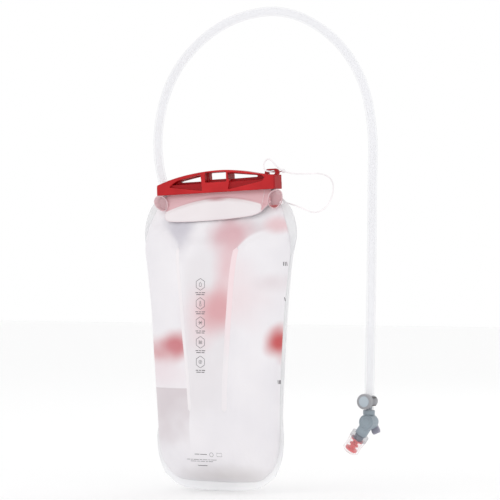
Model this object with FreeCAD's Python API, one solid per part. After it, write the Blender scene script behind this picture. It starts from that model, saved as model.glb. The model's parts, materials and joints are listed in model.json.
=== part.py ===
"""Slide-top hydration bladder: soft reservoir, slider handle, drink tube and bite valve.

Millimetres. +Z up, +Y to the back, +X to the right seen from the front. The origin is the middle of
the hang window in the slider handle, from which the full reservoir hangs.
"""

import FreeCAD, Part
import math
import os

from FreeCAD import Vector as V

# Reservoir film and flat outline (heights count down from the hang window)
DROP = 314.0            # from the hang window to the lowest point of the welded rim
FILM = 0.6              # one layer of film
BAFFLE = 0.8            # thickness of an inner baffle
FLANGE_SIDE = [(33, 0.8), (49, 5.5), (62.5, 15.5), (69, 30), (71.5, 45), (73, 85), (75.5, 130), (78.5, 180),
               (82, 220), (85.5, 245), (86, 262), (80.5, 280), (71, 291), (62.2, 297)]
FLANGE_FOOT = -0.5      # the rim's height at its middle
# Filled chamber: height above the rim's foot, half width, half depth
CHAMBER = [(9.5, 42, 1.2), (14, 52, 9), (22, 60, 16.5), (35, 65.5, 22.5), (55, 68, 26.5), (85, 69, 29),
           (130, 71.5, 30), (180, 75, 29.8), (220, 79.6, 28.4), (245, 82.2, 23.5), (262, 79, 16.5),
           (277, 73, 9), (286, 68, 4), (293, 63.5, 1.3)]
BAFFLE_TOP = (32.5, 243.0)      # half spacing and height of the baffles' upper ends
BAFFLE_FOOT = (19.8, 78.0)      # and of their lower ends

# Mouth: the film folds forward over itself inside the slider, which sits at a slight tilt
TILT = 2.6              # degrees, right end higher
FOLD_R = 1.0            # inside radius of the fold
FOLD_Z = -10.6          # height of the fold's centre
MOUTH_HALF = 62.0
RAIL_Z = (-12.8, -10.8)
RAIL_DEEP = 1.6
SLOT_Z = -16.4          # underside of the slider
FLAP_SLOPE = 0.40       # how fast the flap leans forward below the slider
FLAP_EDGE = [(-61, -33), (-43, -43.6), (0, -46), (43, -43.6), (61, -33)]

# Slider handle
SLIDER_LEFT, SLIDER_RIGHT = -68.0, 66.0
SLIDER_DEEP = 16.0
SLIDER_Y = -FILM - FOLD_R       # middle of its depth
SLIDER_TOP = [(-44, 0.6), (-23, 3.9), (0, 5.5), (24.5, 4.1), (49, -0.4)]
SLIDER_LEFT_Z = -5.4
SLIDER_RIGHT_Z = -2.2
LIP = 3.4               # height of the two inward lips that hold the rails
GAP = 0.4
WEB = 3.2               # plate left between the front and back pockets
# Corners of the three windows through the web, and of the pockets on both sides of it
WINDOWS = [[(-44, -4.4), (-18.5, -4.4), (-18.5, 0.6), (-44, -3.2)],
           [(-10.8, -3.2), (10.8, -3.2), (10.8, 3.2), (-10.8, 3.2)],
           [(13.5, -3.6), (44, -3.2), (44, -1.8), (13.5, 1.8)]]
POCKETS = [[(-50, -6.6), (-16.6, -6.6), (-17.4, 2.0), (-44.8, -2.9), (-50.5, -6.0)],
           [(-12.2, -6.2), (11.6, -6.2), (11.6, 3.7), (-12.2, 3.7)],
           [(15.6, -6.6), (50.5, -6.0), (54, -4.4), (51, -1.9), (13.0, 2.7)]]
# Shallow triangles that carry the outer pockets down the front face
HOLLOWS = [[(-54, -8.8), (-44.8, -2.9), (-17.4, 2.1), (-16.1, -14.0)],
           [(13.3, -14.2), (52.2, -7.8), (54.7, -4.6), (51.2, -1.8), (17.3, 2.6)]]
HOLLOW_DEEP = 2.4
EYELET = (59.9, 0.0)
EYELET_R, EYELET_SPREAD = 3.8, 3.9      # radius of its ends, and half the distance between them
EYELET_HOLE_R, EYELET_HOLE_SPREAD = 2.1, 1.7

# Quick-connect port low on the back
PORT_Z = 85.0 - DROP
FLANGE_R = 18.5
FLANGE_THICK = 1.2
BARREL_R = 10.5
BARREL_END = 46.0
BORE_R = 6.05
SEAT_Y = 31.5
LATCH_Y = 41.6
POPPET_TRAVEL = 3.5

# Drink tube and tether cord
TUBE_R = 4.75
TUBE_BORE = 3.175
ELBOW_Y = 55.0
ELBOW_LEAN = 12.0
TUBE_ROUTE = [(-1.9, 55, -220.2), (-11, 55, -171), (-29, 48, -119), (-53, 37, -65), (-78, 20.5, -12),
              (-85, 19.5, 43), (-70.5, 20, 98), (-36.5, 20, 137), (8, 20, 161), (62, 20, 166.5),
              (113, 20, 142), (148.4, 20, 99), (160.6, 20, 45), (159.2, 20, -12), (158.3, 20, -124),
              (155.6, 20, -233.4)]
TETHER_R = 0.75
TETHER_ROUTE = [(72.4, 2.2, -27), (81, 2.5, -29), (93, 1.5, -33.5), (106, 0, -38), (118, -1, -34),
                (127.5, -1.6, -20), (127, -1.6, -5), (115, -1.6, 1.5), (98, -1.6, 1), (83, -1.6, 1.2),
                (72.5, -3.2, 4), (66, -6, 9.5), (59, -6.6, 17.5), (52.5, -6.8, 12.5), (54, -7.2, 4.3),
                (60, -7.4, 3.6), (61.5, 3.6, 3.4), (67, 3.4, 4), (71.6, 0.2, 4.2)]
KNOT = (72.5, -1.8, 4.2)
ANCHOR = (70.5, -27.0)

# Valve and magnet clip on the tube's free end
LIMB_LEAN = 1.43
VALVE_DROP = 9.4        # from the tube's end to the valve's middle
HOUSING_R = 7.6
HOUSING_HALF = 6.3
SPOOL_R = 3.2
OUTLET = 34.0           # degrees from straight down, towards the reservoir
RING_AT = 15.0
RING_LONG = 5.5
NECK_R, STUB_R = 6.0, 4.6
SHEATH_END = 36.5
SHEATH_WALL = 2.4       # thickness of the sheath's closed end
LEVER_LEAN = 25.0       # degrees from straight down, away from the reservoir
LEVER_LONG = 12.6
CLIP_UP = 11.0
CLIP_R = 7.6
CLIP_RING_R = 7.8
RUN = 0.05              # radial clearance of a running fit


def level(height):
    """Height above the rim's foot to height below the hang window."""
    return height - DROP


def cylinder(radius, start, length, axis=V(0, 0, 1)):
    return Part.makeCylinder(radius, length, V(*start), axis)


def box(low, high):
    size = [b - a for a, b in zip(low, high)]
    return Part.makeBox(*size, V(*low))


def face(edges):
    return Part.Face(Part.Wire(edges))


def polygon(points):
    return Part.Face(Part.makePolygon([V(*p) for p in points] + [V(*points[0])]))


def ring(major, minor, centre, axis):
    return Part.makeTorus(major, minor, V(*centre), axis)


def tilted(shape):
    """Turns a piece of the mouth or slider from level to its place."""
    shape.rotate(V(0, 0, 0), V(0, 1, 0), -TILT)
    return shape


def tilt_point(x, z):
    a = math.radians(TILT)
    return x * math.cos(a) - z * math.sin(a), x * math.sin(a) + z * math.cos(a)


def cord_path(points):
    """Straight runs joined by tangent arcs. Returns the wire and the arcs' radii."""
    points = [V(*p) for p in points]
    runs = [(b - a).Length for a, b in zip(points, points[1:])]
    edges, radii, start = [], [], points[0]
    for i in range(1, len(points) - 1):
        before = (points[i] - points[i - 1]).normalize()
        after = (points[i + 1] - points[i]).normalize()
        turn = before.getAngle(after)
        reach = 0.45 * min(runs[i - 1], runs[i])
        radii.append(reach / math.tan(turn / 2))
        enter, leave = points[i] - before * reach, points[i] + after * reach
        inward = (after - before).normalize()
        middle = points[i] + inward * (radii[-1] / math.cos(turn / 2) - radii[-1])
        edges.append(Part.LineSegment(start, enter).toShape())
        edges.append(Part.Arc(enter, middle, leave).toShape())
        start = leave
    edges.append(Part.LineSegment(start, points[-1]).toShape())
    return Part.Wire(edges), radii


def cord(points, radius, name):
    """A round solid along a cord's route; prints its length, radii and volume share."""
    path, radii = cord_path(points)
    first = V(*points[1]) - V(*points[0])
    circle = Part.Wire([Part.Circle(V(*points[0]), first, radius).toShape()])
    solid = path.makePipeShell([circle], True, False)
    share = solid.Volume / (math.pi * radius ** 2 * path.Length)
    print(name, "length", round(path.Length, 1), "volume share", round(share, 4),
          "radii", [round(r, 1) for r in radii])
    return solid


# ---------------------------------------------------------------- reservoir

def chamber(inset):
    """The filled chamber, a loft of ellipses, drawn in by inset on its walls."""
    rings = []
    for height, half_width, half_depth in CHAMBER:
        ellipse = Part.Ellipse(V(0, 0, level(height)), half_width - inset, half_depth - inset)
        rings.append(Part.Wire([ellipse.toShape()]))
    return Part.makeLoft(rings, True, False)


def rim_slab():
    """Both layers of the flat welded rim and neck, up to the fold."""
    side = [V(0, 0, level(FLANGE_FOOT))] + [V(x, 0, level(z)) for x, z in FLANGE_SIDE]
    right, left = Part.BSplineCurve(), Part.BSplineCurve()
    right.interpolate(side)
    left.interpolate([V(-p.x, 0, p.z) for p in reversed(side)])
    top = [V(x, 0, z) for x, z in (tilt_point(MOUTH_HALF, FOLD_Z), tilt_point(-MOUTH_HALF, FOLD_Z))]
    lines = [Part.LineSegment(side[-1], top[0]), Part.LineSegment(top[0], top[1]),
             Part.LineSegment(top[1], V(-side[-1].x, 0, side[-1].z))]
    outline = face([right.toShape()] + [s.toShape() for s in lines] + [left.toShape()])
    slab = outline.extrude(V(0, 2 * FILM, 0))
    slab.translate(V(0, -FILM, 0))
    return slab


def fold(layer):
    """One film's fold and hanging flap; layer 0 is the front film, inside the fold, 1 the back film."""
    inner = FOLD_R + layer * FILM
    outer = inner + FILM
    yc = SLIDER_Y
    below = SLOT_Z - 0.6
    length = 36.0
    lean = FLAP_SLOPE * length

    def side(radius):
        return [(yc - radius, FOLD_Z), (yc - radius, below), (yc - radius - lean, below - length)]

    def line(a, b):
        return Part.LineSegment(V(0, *a), V(0, *b)).toShape()

    def arc(radius):
        ends = V(0, yc + radius, FOLD_Z), V(0, yc, FOLD_Z + radius), V(0, yc - radius, FOLD_Z)
        return Part.Arc(*ends).toShape()

    out, back = side(outer), side(inner)
    edges = [arc(outer), line(out[0], out[1]), line(out[1], out[2]), line(out[2], back[2]),
             line(back[2], back[1]), line(back[1], back[0]), arc(inner),
             line((yc + inner, FOLD_Z), (yc + outer, FOLD_Z))]
    sheet = face(edges).extrude(V(2 * MOUTH_HALF, 0, 0))
    sheet.translate(V(-MOUTH_HALF, 0, 0))
    edge = Part.BSplineCurve()
    edge.interpolate([V(x, -60, z) for x, z in FLAP_EDGE])
    first, last = FLAP_EDGE[0], FLAP_EDGE[-1]
    corners = [V(last[0] + 1, -60, last[1] + 6), V(last[0] + 1, -60, 0), V(first[0] - 1, -60, 0),
               V(first[0] - 1, -60, first[1] + 6)]
    ring_points = [V(last[0], -60, last[1])] + corners + [V(first[0], -60, first[1])]
    lines = [Part.LineSegment(a, b).toShape() for a, b in zip(ring_points, ring_points[1:])]
    cutter = face([edge.toShape()] + lines).extrude(V(0, 80, 0))
    return tilted(sheet.common(cutter))


def anchor_hole(radius, start, length):
    return cylinder(radius, (ANCHOR[0], start, ANCHOR[1]), length, V(0, 1, 0))


def panels():
    """Front and back panel, each half of the chamber wall, rim, neck, fold and flap."""
    space = chamber(FILM)
    shell = chamber(0).fuse(rim_slab()).cut(space).cut(anchor_hole(1.2, -5, 10))
    port_hole = cylinder(BARREL_R, (0, 10, PORT_Z), 40, V(0, 1, 0))
    front = shell.common(box((-120, -60, -400), (120, 0, 60))).fuse(fold(0))
    back = shell.common(box((-120, 0, -400), (120, 60, 60))).cut(port_hole).fuse(fold(1))
    return front.removeSplitter(), back.removeSplitter()


def baffle(side):
    """An upright film wall that ties the front panel to the back one."""
    (x1, z1), (x0, z0) = BAFFLE_TOP, BAFFLE_FOOT
    half = BAFFLE / 2
    outline = polygon([(side * x0 - half, -60, level(z0)), (side * x0 + half, -60, level(z0)),
                       (side * x1 + half, -60, level(z1)), (side * x1 - half, -60, level(z1))])
    return outline.extrude(V(0, 120, 0)).common(chamber(FILM))


def lip_rail(front):
    """A stiff strip welded to the folded mouth, which the slider's lips hold up."""
    reach = FOLD_R + 2 * FILM
    low = SLIDER_Y - reach - RAIL_DEEP if front else SLIDER_Y + reach
    return tilted(box((-MOUTH_HALF + 2, low, RAIL_Z[0]), (MOUTH_HALF - 2, low + RAIL_DEEP, RAIL_Z[1])))


def tether_anchor():
    """Knot of the tether cord through its hole in the rim."""
    x, z = ANCHOR
    front = Part.makeSphere(2.0, V(x, -FILM - 1.7, z))
    rear = Part.makeSphere(1.9, V(x, FILM + 1.6, z))
    return front.fuse(rear).fuse(anchor_hole(0.9, -2, 4)).cut(
        box((x + 1.5, -5, z - 5), (x + 6, 6, z + 5))).removeSplitter()


# ---------------------------------------------------------------- slider

def stadium(radius, spread, start, length):
    """A prism with round ends about the middle of the eyelet, along +Y."""
    x, z = EYELET
    body = box((x - spread, start, z - radius), (x + spread, start + length, z + radius))
    for side in (-1, 1):
        body = body.fuse(cylinder(radius, (x + side * spread, start, z), length, V(0, 1, 0)))
    return body.removeSplitter()


def slider():
    """Channel with two inward lips under an arched handle with three windows and an eyelet."""
    deep = SLIDER_DEEP
    y0 = SLIDER_Y - deep / 2
    crown = Part.BSplineCurve()
    left, right = V(SLIDER_LEFT + 2.5, y0, SLIDER_LEFT_Z), V(SLIDER_RIGHT, y0, SLIDER_RIGHT_Z)
    low_left, low_right = V(SLIDER_LEFT, y0, SLOT_Z), V(SLIDER_RIGHT, y0, SLOT_Z)
    end_left = V(SLIDER_LEFT, y0, SLIDER_LEFT_Z - 2.5)
    crown.interpolate([left] + [V(x, y0, z) for x, z in SLIDER_TOP] + [right])
    corner = Part.Arc(end_left, V(SLIDER_LEFT + 0.7, y0, SLIDER_LEFT_Z - 0.7), left)
    lines = [(right, low_right), (low_right, low_left), (low_left, end_left)]
    edges = [corner.toShape(), crown.toShape()] + [Part.LineSegment(*pair).toShape() for pair in lines]
    body = face(edges).extrude(V(0, deep, 0))

    wide = RAIL_DEEP + 2 * FILM + FOLD_R + GAP
    narrow = 2 * FILM + FOLD_R + GAP
    end = MOUTH_HALF + 0.8
    start = SLIDER_LEFT - 1
    body = body.cut(box((start, SLIDER_Y - narrow, SLOT_Z - 1), (end, SLIDER_Y + narrow, -12)))
    body = body.cut(box((start, SLIDER_Y - wide, SLOT_Z + LIP), (end, SLIDER_Y + wide, FOLD_Z + 2.6)))

    for outlines, start, length in ((WINDOWS, y0 - 1, deep + 2), (POCKETS, y0 - 1, (deep - WEB) / 2 + 1),
                                    (POCKETS, SLIDER_Y + WEB / 2, deep), (HOLLOWS, y0 - 1, HOLLOW_DEEP + 1)):
        for outline in outlines:
            prism = polygon([(x, start, z) for x, z in outline]).extrude(V(0, length, 0))
            body = body.cut(prism)

    body = body.fuse(stadium(EYELET_R, EYELET_SPREAD, SLIDER_Y - 2, 4))
    body = body.cut(stadium(EYELET_HOLE_R, EYELET_HOLE_SPREAD, -30, 60))
    return tilted(body.removeSplitter())


# ---------------------------------------------------------------- port and plug

def along_y(radius, start, end, x=0.0, z=PORT_Z):
    return cylinder(radius, (x, start, z), end - start, V(0, 1, 0))


def port_base():
    """Flange welded inside the back panel, with the barrel and its valve seat."""
    space = chamber(FILM)
    flange = space.common(along_y(FLANGE_R, 15, 40))
    flange = flange.cut(space.translated(V(0, -FLANGE_THICK, 0)))
    barrel = along_y(BARREL_R, 22, BARREL_END)
    body = flange.fuse(barrel)
    body = body.cut(along_y(4.2, 21, SEAT_Y)).cut(along_y(2.8, 30, 34)).cut(along_y(BORE_R, 33, 50))
    for side in (-1, 1):
        z = PORT_Z + side * 4.7
        body = body.cut(box((-12, LATCH_Y - 0.9, z - 0.9), (12, LATCH_Y + 0.9, z + 0.9)))
    pocket = box((7.6, LATCH_Y - 1.2, PORT_Z - 5.8), (12, LATCH_Y + 1.2, PORT_Z + 5.8))
    return body.cut(pocket).removeSplitter()


def poppet_retainer():
    """Pierced disc at the reservoir end of the port that carries the poppet's spring."""
    body = along_y(4.2, 22.2, 23.4).cut(along_y(1.3, 22, 24))
    for i in range(4):
        turn = math.radians(45 + 90 * i)
        hole = along_y(0.8, 22, 24, 2.8 * math.cos(turn), PORT_Z + 2.8 * math.sin(turn))
        body = body.cut(hole)
    return body


def shutoff_poppet():
    """Mushroom valve pushed off its seat by the plug; its tail is guided by the retainer."""
    head = along_y(3.5, 26.4, SEAT_Y - POPPET_TRAVEL - 0.1)
    return head.fuse(along_y(1.4, 27, 33.4)).fuse(along_y(1.15, 22.6, 27)).removeSplitter()


def poppet_spring():
    """Coil of square wire between the retainer and the poppet's head."""
    radius, half, turns = 2.2, 0.27, 2.1
    coil = Part.Wire(Part.makeLongHelix(1.0, turns, radius).Edges)
    corners = [(-half, -half), (half, -half), (half, half), (-half, half), (-half, -half)]
    section = Part.makePolygon([V(radius + x, 0, z) for x, z in corners])
    spring = coil.makePipeShell([section], True, True)
    spring.rotate(V(0, 0, 0), V(1, 0, 0), -90)
    spring.translate(V(0, 23.8, PORT_Z))
    return spring


def port_collar():
    """Cap ring round the barrel that keeps the latch spring and the button in."""
    body = along_y(13.5, 38.5, BARREL_END - 1).cut(along_y(BARREL_R, 38, BARREL_END))
    body = body.cut(box((6, LATCH_Y - 2.2, PORT_Z - 6.5), (16, LATCH_Y + 2.2, PORT_Z + 6.5)))
    for side in (-1, 1):
        z = PORT_Z + side * 4.7
        body = body.cut(box((-12, LATCH_Y - 0.9, z - 0.9), (12, LATCH_Y + 0.9, z + 0.9)))
    body = body.cut(box((-12.2, LATCH_Y - 0.9, PORT_Z - 5.6), (-8, LATCH_Y + 0.9, PORT_Z + 5.6)))
    return body.removeSplitter()


def latch_spring():
    """U of spring wire whose legs sit in the plug's groove."""
    wire, reach = 0.6, 11.0
    legs = [V(reach, LATCH_Y, PORT_Z + 4.7), V(-9.0, LATCH_Y, PORT_Z + 4.7),
            V(-11.2, LATCH_Y, PORT_Z + 2.5), V(-11.2, LATCH_Y, PORT_Z - 2.5),
            V(-9.0, LATCH_Y, PORT_Z - 4.7), V(reach, LATCH_Y, PORT_Z - 4.7)]
    knee = 2.2 * (1 - math.sqrt(0.5))
    upper = V(-11.2 + knee, LATCH_Y, PORT_Z + 4.7 - knee)
    lower = V(-11.2 + knee, LATCH_Y, PORT_Z - 4.7 + knee)
    edges = [Part.LineSegment(legs[0], legs[1]).toShape(), Part.Arc(legs[1], upper, legs[2]).toShape(),
             Part.LineSegment(legs[2], legs[3]).toShape(), Part.Arc(legs[3], lower, legs[4]).toShape(),
             Part.LineSegment(legs[4], legs[5]).toShape()]
    circle = Part.Wire([Part.Circle(legs[0], V(1, 0, 0), wire).toShape()])
    return Part.Wire(edges).makePipeShell([circle], True, False)


def release_button():
    """Thumb button whose wedge spreads the latch spring's legs."""
    half = 0.9
    outline = [(9.9, 2.4), (11.0, 3.6), (13.2, 6.0), (14.0, 6.0)]
    points = [(x, LATCH_Y - half, PORT_Z + z) for x, z in outline]
    points += [(x, LATCH_Y - half, PORT_Z - z) for x, z in reversed(outline)]
    wedge = polygon(points).extrude(V(0, 2 * half, 0))
    cap = box((13.9, LATCH_Y - 1.8, PORT_Z - 6.1), (16.6, LATCH_Y + 1.8, PORT_Z + 6.1))
    return wedge.fuse(cap).removeSplitter()


def plug_elbow():
    """Plug stem with its latch groove, turned through an elbow to the tube's barb."""
    lean = math.radians(ELBOW_LEAN)
    up = V(-math.sin(lean), 0, math.cos(lean))
    centre = V(0, ELBOW_Y, PORT_Z)
    body = along_y(BORE_R - RUN, 33.6, 47).cut(along_y(9, 40.5, 42.7).cut(along_y(4.0, 40, 43)))
    body = body.cut(along_y(9, 35.6, 37.6).cut(along_y(4.4, 35, 38)))
    body = body.fuse(along_y(8.0, BARREL_END + 0.3, 48.2)).fuse(along_y(5.4, 48, ELBOW_Y))
    body = body.fuse(Part.makeSphere(5.4, centre)).fuse(Part.makeCylinder(5.4, 9, centre, up))
    for start, radius in ((9, 3.1), (12, 3.35), (16, 3.35)):
        length = 12 if start == 9 else 1.6
        body = body.fuse(Part.makeCylinder(radius, length, centre + up * start, up))
    return body.cut(along_y(2.2, 33, ELBOW_Y)).cut(Part.makeCylinder(2.2, 30, centre, up)).removeSplitter()


def drink_tube():
    outer = cord(TUBE_ROUTE, TUBE_R, "drink_tube")
    inner = cord(TUBE_ROUTE, TUBE_BORE, "tube_bore")
    return outer.cut(inner)


# ---------------------------------------------------------------- valve and clip

def on_limb(shape):
    """From the valve's own frame, the tube's end at the origin and the tube upwards, to its place."""
    shape.rotate(V(0, 0, 0), V(0, 1, 0), LIMB_LEAN)
    shape.translate(V(*TUBE_ROUTE[-1]))
    return shape


def outlet_way():
    a = math.radians(OUTLET)
    return V(-math.sin(a), 0, -math.cos(a))


def on_outlet(radius, start, end):
    """A round piece along the outlet, from start to end counted from the valve's middle."""
    way = outlet_way()
    return Part.makeCylinder(radius, end - start, V(0, 0, -VALVE_DROP) + way * start, way)


def across(radius, start, end, z=-VALVE_DROP):
    return cylinder(radius, (0, start, z), end - start, V(0, 1, 0))


def valve_inlet():
    """Barbed fitting in the tube's end, with a cuff round it and the stub that the valve turns on."""
    body = cylinder(3.1, (0, 0, -2.2), 14.2).fuse(cylinder(3.35, (0, 0, 8.5), 1.8))
    body = body.fuse(cylinder(3.35, (0, 0, 4.5), 1.8))
    cuff = cylinder(5.8, (0, 0, -2.2), 4.4).cut(cylinder(TUBE_R, (0, 0, 0), 3))
    body = body.fuse(cuff).fuse(cylinder(3.0, (0, 0, -5.4), 4))
    body = body.cut(ring(2.6, 0.45, (0, 0, -4.2), V(0, 0, 1)))
    return on_limb(body.cut(cylinder(1.8, (0, 0, -6), 20)).removeSplitter())


def inlet_o_ring():
    return on_limb(ring(2.6, 0.42, (0, 0, -4.2), V(0, 0, 1)))


def valve_housing():
    """Drum across the tube with the spool's bore, and the angled outlet neck."""
    drum = across(HOUSING_R, -HOUSING_HALF, HOUSING_HALF)
    body = drum.fuse(cylinder(5.2, (0, 0, -9), 6.4)).fuse(on_outlet(NECK_R, 3, RING_AT))
    body = body.fuse(on_outlet(STUB_R, 3, RING_AT + RING_LONG + 0.2))
    body = body.cut(cylinder(3.0 + RUN, (0, 0, -5.6), 4)).cut(cylinder(1.9, (0, 0, -9), 5))
    body = body.cut(cylinder(7, (0, 0, -2.4), 4))
    body = body.cut(across(SPOOL_R + RUN, -HOUSING_HALF + 1.4, HOUSING_HALF + 1))
    body = body.cut(across(6.5, -HOUSING_HALF - 1, -HOUSING_HALF + 1.0))
    return on_limb(body.cut(on_outlet(2.4, 2.5, 25)).removeSplitter())


def valve_cap():
    """Round plate set in the drum's front, with a plain raised ring."""
    start = -HOUSING_HALF
    plate = across(6.4, start, start + 1.0)
    raised = across(4.6, start - 0.4, start + 0.2).cut(across(3.8, start - 1, start + 0.2))
    return on_limb(plate.fuse(raised).removeSplitter())


def shutoff_spool():
    """Drum with a bent passage, and the square end that the lever sits on."""
    body = across(SPOOL_R, -HOUSING_HALF + 1.6, HOUSING_HALF)
    body = body.fuse(box((-1.8, HOUSING_HALF - 1, -VALVE_DROP - 1.8), (1.8, 9.6, -VALVE_DROP + 1.8)))
    for y in (-3.6, 4.4):
        body = body.cut(ring(SPOOL_R - 0.47, 0.5, (0, y, -VALVE_DROP), V(0, 1, 0)))
    way = outlet_way()
    body = body.cut(cylinder(1.7, (0, 0, -VALVE_DROP), 6))
    return on_limb(body.cut(Part.makeCylinder(1.7, 6, V(0, 0, -VALVE_DROP), way)).removeSplitter())


def spool_o_rings():
    rings = [ring(SPOOL_R - 0.47, 0.48, (0, y, -VALVE_DROP), V(0, 1, 0)) for y in (-3.6, 4.4)]
    return on_limb(Part.makeCompound(rings))


def shutoff_lever():
    """Lever on the back of the valve: hub, tapering paddle and three grip ribs."""
    y0, y1 = HOUSING_HALF + 0.35, 9.6
    zc = -VALVE_DROP
    tip, knee = zc - LEVER_LONG, zc - LEVER_LONG + 2.2
    paddle = polygon([(-3.2, y0, zc), (3.2, y0, zc), (4.2, y0, knee), (3.2, y0, tip),
                      (-3.2, y0, tip), (-4.2, y0, knee)]).extrude(V(0, y1 - y0, 0))
    body = across(6.2, y0, y1).fuse(paddle)
    for i in range(3):
        z = zc - 6.6 - 2.2 * i
        body = body.fuse(box((-3.4, y1 - 0.2, z - 0.5), (3.4, y1 + 0.7, z + 0.5)))
    body.rotate(V(0, 0, zc), V(0, 1, 0), -LEVER_LEAN)
    body = body.cut(box((-1.8, y0 - 1, zc - 1.8), (1.8, y1, zc + 1.8)))
    return on_limb(body.removeSplitter())


def neck_ring():
    """Clear locking ring round the stub at the end of the outlet neck."""
    end = RING_AT + RING_LONG
    return on_limb(on_outlet(9.0, RING_AT, end).cut(on_outlet(STUB_R, RING_AT - 1, end + 1)))


def bite_core():
    """Red core inside the sheath: three discs on a hollow stem with side ports."""
    base = RING_AT + RING_LONG + 0.2
    body = on_outlet(2.9, base, base + 12)
    for radius, start, end in ((6.4, 0, 1.8), (4.6, 6.2, 7.4), (6.0, 11.2, 13.2)):
        body = body.fuse(on_outlet(radius, base + start, base + end))
    body = body.cut(on_outlet(1.6, base - 1, base + 9))
    way = outlet_way()
    start = V(0, 0, -VALVE_DROP) + way * (base + 4)
    for y in (-1, 1):
        body = body.cut(Part.makeCylinder(0.9, 5, start, V(0, y, 0)))
    return on_limb(body.removeSplitter())


def bite_sheath():
    """Clear silicone sheath over the core, closed by a slit end."""
    base = RING_AT + RING_LONG
    inside = SHEATH_END - SHEATH_WALL
    profile = [(0, SHEATH_END), (6.2, SHEATH_END), (8.4, inside), (8.0, SHEATH_END - 9),
               (8.9, base + 1), (8.9, base), (6.6, base), (6.6, inside), (0, inside)]
    outline = polygon([(r, 0, -h) for r, h in profile])
    body = outline.revolve(V(0, 0, 0), V(0, 0, 1), 360)
    body = body.cut(box((-4, -0.25, -SHEATH_END - 1), (4, 0.25, -inside + 1)))
    body.rotate(V(0, 0, 0), V(0, 1, 0), OUTLET)
    body.translate(V(0, 0, -VALVE_DROP))
    return on_limb(body)


def clip_liner():
    """Soft sleeve that grips the tube, lipped at both ends."""
    body = cylinder(6.0, (0, 0, CLIP_UP - 4.2), 8.4)
    for z in (CLIP_UP - 4.2, CLIP_UP + 3.4):
        body = body.fuse(cylinder(6.9, (0, 0, z), 0.8))
    return on_limb(body.cut(cylinder(TUBE_R + 0.3, (0, 0, CLIP_UP - 6), 12)).removeSplitter())


def clip_ring():
    """Ring that turns on the sleeve, with a pad in front for the magnet and a button behind."""
    body = cylinder(CLIP_RING_R, (0, 0, CLIP_UP - 3.1), 6.2)
    body = body.fuse(across(4.2, -8.6, 0, CLIP_UP))
    body = body.fuse(across(3.4, 0, 7.6, CLIP_UP)).fuse(across(5.2, 7.4, 9.0, CLIP_UP))
    hollow = cylinder(6.25, (0, 0, CLIP_UP - 6), 12)
    lips = cylinder(7.2, (0, 0, CLIP_UP + 3.2), 4).fuse(cylinder(7.2, (0, 0, CLIP_UP - 7.2), 4))
    return on_limb(body.cut(hollow).cut(lips).removeSplitter())


def clip_housing():
    """Round magnet housing, saddled over the ring and its pad, with a recess for the face plate."""
    body = across(CLIP_R, -12.2, -6.3, CLIP_UP).cut(across(5.3, -13, -9.4, CLIP_UP))
    body = body.cut(across(4.2, -8.6, -5, CLIP_UP))
    return on_limb(body.cut(cylinder(CLIP_RING_R + 0.05, (0, 0, CLIP_UP - 9), 18)).removeSplitter())


def clip_magnet():
    return on_limb(across(5.2, -11.4, -9.4, CLIP_UP))


def clip_face():
    return on_limb(across(5.3, -12.4, -11.4, CLIP_UP))


def tether_knot():
    """Overhand knot that closes the tether's loop through the eyelet."""
    x, y, z = KNOT
    body = Part.makeSphere(2.0, V(x, y, z)).fuse(ring(1.5, 0.8, (x, y, z), V(1, 0.4, 0.5)))
    return body.removeSplitter()


front_panel, back_panel = panels()
NODES = {
    "front_panel": front_panel,
    "back_panel": back_panel,
    "baffle_left": baffle(-1),
    "baffle_right": baffle(1),
    "lip_rail_front": lip_rail(True),
    "lip_rail_back": lip_rail(False),
    "tether_anchor": tether_anchor(),
    "slider_handle": slider(),
    "tether_cord": cord(TETHER_ROUTE, TETHER_R, "tether_cord"),
    "tether_knot": tether_knot(),
    "port_base": port_base(),
    "port_collar": port_collar(),
    "poppet_retainer": poppet_retainer(),
    "shutoff_poppet": shutoff_poppet(),
    "poppet_spring": poppet_spring(),
    "latch_spring": latch_spring(),
    "release_button": release_button(),
    "plug_o_ring": ring(5.2, 0.8, (0, 36.6, PORT_Z), V(0, 1, 0)),
    "plug_elbow": plug_elbow(),
    "drink_tube": drink_tube(),
    "valve_inlet": valve_inlet(),
    "inlet_o_ring": inlet_o_ring(),
    "valve_housing": valve_housing(),
    "valve_cap": valve_cap(),
    "shutoff_spool": shutoff_spool(),
    "spool_o_rings": spool_o_rings(),
    "shutoff_lever": shutoff_lever(),
    "neck_ring": neck_ring(),
    "bite_core": bite_core(),
    "bite_sheath": bite_sheath(),
    "clip_liner": clip_liner(),
    "clip_ring": clip_ring(),
    "clip_housing": clip_housing(),
    "clip_magnet": clip_magnet(),
    "clip_face": clip_face(),
}

os.makedirs("parts", exist_ok=True)
for name, shape in NODES.items():
    print(name, "valid", shape.isValid(), "solids", len(shape.Solids), "volume", round(shape.Volume, 1))
    shape.exportStep("parts/" + name + ".step")
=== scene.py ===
import json
import math

import bpy
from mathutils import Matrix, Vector, noise
from mathutils.bvhtree import BVHTree


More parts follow.
